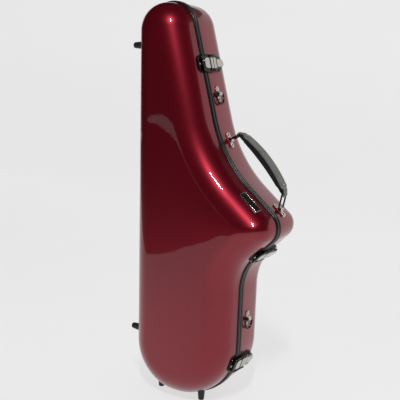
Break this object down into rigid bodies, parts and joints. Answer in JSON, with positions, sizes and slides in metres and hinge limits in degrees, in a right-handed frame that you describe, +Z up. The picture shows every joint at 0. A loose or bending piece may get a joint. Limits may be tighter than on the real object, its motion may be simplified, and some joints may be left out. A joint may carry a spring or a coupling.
{
  "type": "contoured tenor saxophone case",
  "caption": "Contoured hard-shell saxophone case, standing on rubber feet, with a hinged lid, draw latches, strap rings and an arched carrying handle; a plush bed inside takes the instrument.",
  "frame": {"origin": "on the floor, at the bottom centre of the whole case's box as it stands shut on its feet", "axes": "+Z up along the spine, -Y out of the lid's face, +X from the hinged spine to the carrying handle"},
  "size_m": [0.351, 0.1656, 0.8366],
  "materials": {
    "wine_red_lacquer": "glossy metallic wine-red lacquer over fibreglass laminate",
    "black_edge_trim": "satin black channel section",
    "nickel_plated_steel": "dark bright plating",
    "black_rubber": "matte moulded",
    "black_plush_lining": "short-pile plush over foam",
    "black_leather_grip": "grained, padded",
    "dark_name_plate": "dark plate, left blank"
  },
  "bodies": {
    "tub": {"back_lining_bed": "black_plush_lining", "back_rim_trim": "black_edge_trim", "back_shell": "wine_red_lacquer", "foot_tub_heel": "black_rubber", "foot_tub_spine_high": "black_rubber", "foot_tub_spine_low": "black_rubber", "foot_tub_toe": "black_rubber", "handle_saddle_lower": "nickel_plated_steel", "handle_saddle_upper": "nickel_plated_steel", "hinge_lower_pin": "nickel_plated_steel", "hinge_lower_tub_leaf": "nickel_plated_steel", "hinge_middle_pin": "nickel_plated_steel", "hinge_middle_tub_leaf": "nickel_plated_steel", "hinge_upper_pin": "nickel_plated_steel", "hinge_upper_tub_leaf": "nickel_plated_steel", "latch_bell_base": "nickel_plated_steel", "latch_bell_lever_pin": "nickel_plated_steel", "latch_bottom_base": "nickel_plated_steel", "latch_bottom_lever_pin": "nickel_plated_steel", "latch_top_base": "nickel_plated_steel", "latch_top_lever_pin": "nickel_plated_steel", "rim_gasket": "black_rubber", "strap_saddle_lower": "nickel_plated_steel", "strap_saddle_upper": "nickel_plated_steel"},
    "lid": {"foot_lid_heel": "black_rubber", "foot_lid_spine_high": "black_rubber", "foot_lid_spine_low": "black_rubber", "foot_lid_toe": "black_rubber", "front_rim_trim": "black_edge_trim", "front_shell": "wine_red_lacquer", "hinge_lower_lid_leaf": "nickel_plated_steel", "hinge_middle_lid_leaf": "nickel_plated_steel", "hinge_upper_lid_leaf": "nickel_plated_steel", "latch_bell_keeper": "nickel_plated_steel", "latch_bottom_keeper": "nickel_plated_steel", "latch_top_keeper": "nickel_plated_steel", "lid_lining": "black_plush_lining", "name_plate": "dark_name_plate"},
    "handle_bail_lower": {"handle_bail_lower": "nickel_plated_steel"},
    "handle_bail_upper": {"handle_bail_upper": "nickel_plated_steel"},
    "handle_grip": {"handle_grip": "black_leather_grip"},
    "latch_bell_claw": {"latch_bell_claw": "nickel_plated_steel"},
    "latch_bell_lever": {"latch_bell_claw_pin": "nickel_plated_steel", "latch_bell_lever": "nickel_plated_steel"},
    "latch_bottom_claw": {"latch_bottom_claw": "nickel_plated_steel"},
    "latch_bottom_lever": {"latch_bottom_claw_pin": "nickel_plated_steel", "latch_bottom_lever": "nickel_plated_steel"},
    "latch_top_claw": {"latch_top_claw": "nickel_plated_steel"},
    "latch_top_lever": {"latch_top_claw_pin": "nickel_plated_steel", "latch_top_lever": "nickel_plated_steel"},
    "strap_ring_lower": {"strap_ring_lower": "nickel_plated_steel"},
    "strap_ring_upper": {"strap_ring_upper": "nickel_plated_steel"}
  },
  "joints": [
    {"name": "lid_hinge", "type": "hinge", "parent": "tub", "child": "lid", "pos_m": [-0.1611, -0.0107, 0.45], "axis": [0, 0, -1], "range_deg": [0, 110]},
    {"name": "latch_top_lever_hinge", "type": "hinge", "parent": "tub", "child": "latch_top_lever", "pos_m": [-0.0107, 0.0033, 0.71219], "axis": [0.2694, 0, -0.963], "range_deg": [0, 120]},
    {"name": "latch_top_claw_hinge", "type": "hinge", "parent": "latch_top_lever", "child": "latch_top_claw", "pos_m": [-0.0107, 0.0193, 0.71219], "axis": [-0.2694, 0, 0.963], "range_deg": [0, 150]},
    {"name": "latch_bell_lever_hinge", "type": "hinge", "parent": "tub", "child": "latch_bell_lever", "pos_m": [0.13519, 0.0033, 0.33389], "axis": [-0.7132, 0, -0.701], "range_deg": [0, 120]},
    {"name": "latch_bell_claw_hinge", "type": "hinge", "parent": "latch_bell_lever", "child": "latch_bell_claw", "pos_m": [0.13519, 0.0193, 0.33389], "axis": [0.7132, 0, 0.701], "range_deg": [0, 150]},
    {"name": "latch_bottom_lever_hinge", "type": "hinge", "parent": "tub", "child": "latch_bottom_lever", "pos_m": [0.08795, 0.0033, 0.09372], "axis": [-0.3353, 0, -0.9421], "range_deg": [0, 120]},
    {"name": "latch_bottom_claw_hinge", "type": "hinge", "parent": "latch_bottom_lever", "child": "latch_bottom_claw", "pos_m": [0.08795, 0.0193, 0.09372], "axis": [0.3353, 0, 0.9421], "range_deg": [0, 150]},
    {"name": "strap_ring_upper_hinge", "type": "hinge", "parent": "tub", "child": "strap_ring_upper", "pos_m": [0.00473, 0.0163, 0.65073], "axis": [0, -1, 0], "range_deg": [0, 170]},
    {"name": "strap_ring_lower_hinge", "type": "hinge", "parent": "tub", "child": "strap_ring_lower", "pos_m": [0.09519, 0.0163, 0.18893], "axis": [0, -1, 0], "range_deg": [0, 170]},
    {"name": "handle_bail_upper_hinge", "type": "hinge", "parent": "tub", "child": "handle_bail_upper", "pos_m": [0.03573, 0.0193, 0.55899], "axis": [0, 1, 0], "range_deg": [-16, 16]},
    {"name": "handle_grip_hinge", "type": "hinge", "parent": "handle_bail_upper", "child": "handle_grip", "pos_m": [0.0584, 0.0193, 0.57075], "axis": [0, 1, 0], "range_deg": [-18.6, 18.6]},
    {"name": "handle_bail_lower_hinge", "type": "hinge", "parent": "tub", "child": "handle_bail_lower", "pos_m": [0.1589, 0.0193, 0.43054], "axis": [0, 1, 0], "range_deg": [-14.4, 14.4]}
  ],
  "couplings": [
    {"joint": "latch_top_claw_hinge", "follows": "latch_top_lever_hinge", "ratio": 1.25},
    {"joint": "latch_bell_claw_hinge", "follows": "latch_bell_lever_hinge", "ratio": 1.25},
    {"joint": "latch_bottom_claw_hinge", "follows": "latch_bottom_lever_hinge", "ratio": 1.25},
    {"joint": "handle_grip_hinge", "follows": "handle_bail_upper_hinge", "ratio": -1.149},
    {"joint": "handle_bail_lower_hinge", "follows": "handle_bail_upper_hinge", "ratio": 0.8905}
  ]
}
